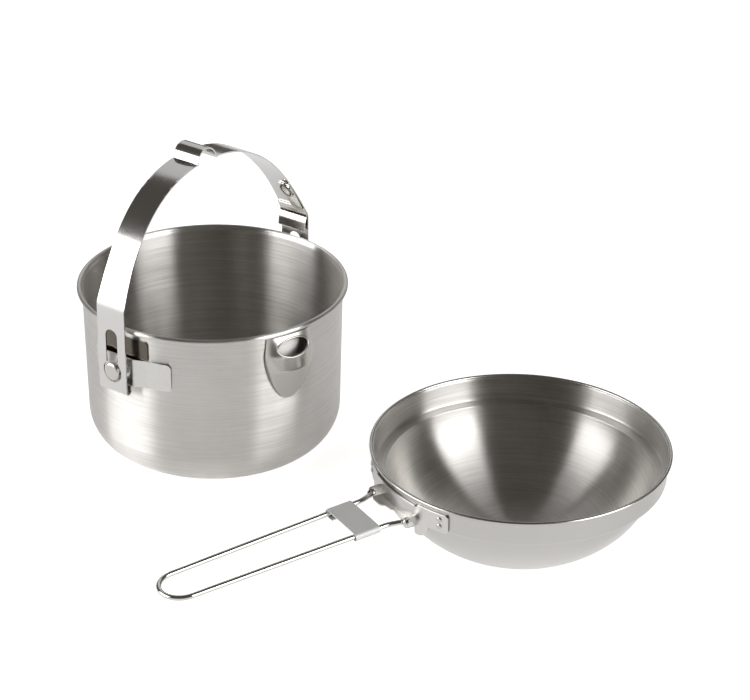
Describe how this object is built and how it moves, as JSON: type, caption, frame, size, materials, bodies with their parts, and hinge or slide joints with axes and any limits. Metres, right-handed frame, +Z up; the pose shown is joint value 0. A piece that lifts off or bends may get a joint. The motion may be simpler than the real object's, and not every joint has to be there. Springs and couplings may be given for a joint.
{
  "type": "camping cook set",
  "caption": "Steel camping pot with a pouring spout and a strap bail that swings and drops, with a round-bowled frying-pan lid whose folding wire handle carries a sliding lock.",
  "frame": {"origin": "centre of the pot's base, on the plane both vessels stand on", "axes": "+Z up; +X to the right, towards the pan; +Y away from the front"},
  "size_m": [0.3957, 0.3719, 0.2148],
  "materials": {
    "satin_steel": "satin stainless, brushed round the axis inside",
    "polished_steel": "polished stainless",
    "bracket_steel": "pressed stainless, fine satin",
    "rivet_steel": "tumbled stainless",
    "slider_steel": "matt stainless"
  },
  "bodies": {
    "pot": {"pot_shell": "satin_steel", "spout": "satin_steel", "left_bail_bracket": "bracket_steel", "right_bail_bracket": "bracket_steel", "left_bail_backing": "bracket_steel", "right_bail_backing": "bracket_steel"},
    "pivots": {"left_pivot_rivet": "rivet_steel", "right_pivot_rivet": "rivet_steel", "left_pivot_washer": "rivet_steel", "right_pivot_washer": "rivet_steel"},
    "bail": {"bail_strap": "polished_steel", "catch_spring": "polished_steel", "catch_rivet": "rivet_steel"},
    "pan": {"pan_shell": "satin_steel", "pan_handle_bracket": "bracket_steel", "pan_rivet_1": "rivet_steel", "pan_rivet_2": "rivet_steel", "pan_rivet_3": "rivet_steel", "pan_rivet_4": "rivet_steel"},
    "handle": {"handle_wire": "polished_steel"},
    "slider": {"lock_slider": "slider_steel"}
  },
  "joints": [
    {"name": "bail_swing", "type": "hinge", "parent": "pot", "child": "pivots", "pos_m": [-0.00404, 0.00294, 0.0862], "axis": [-0.5878, -0.809, 0], "range_deg": [-90, 90]},
    {"name": "bail_lift", "type": "slide", "parent": "pivots", "child": "bail", "axis": [0, 0, 1], "range_m": [-0.015, 0]},
    {"name": "pan_lift", "type": "slide", "parent": "pot", "child": "pan", "axis": [0, 0, 1], "range_m": [0, 0.15]},
    {"name": "handle_fold", "type": "hinge", "parent": "pan", "child": "handle", "pos_m": [0.12234, -0.18721, 0.0515], "axis": [-0.5225, 0.8526, 0], "range_deg": [0, 85]},
    {"name": "lock_slide", "type": "slide", "parent": "handle", "child": "slider", "axis": [-0.8506, -0.5212, -0.0698], "range_m": [-0.006, 0.105]}
  ]
}
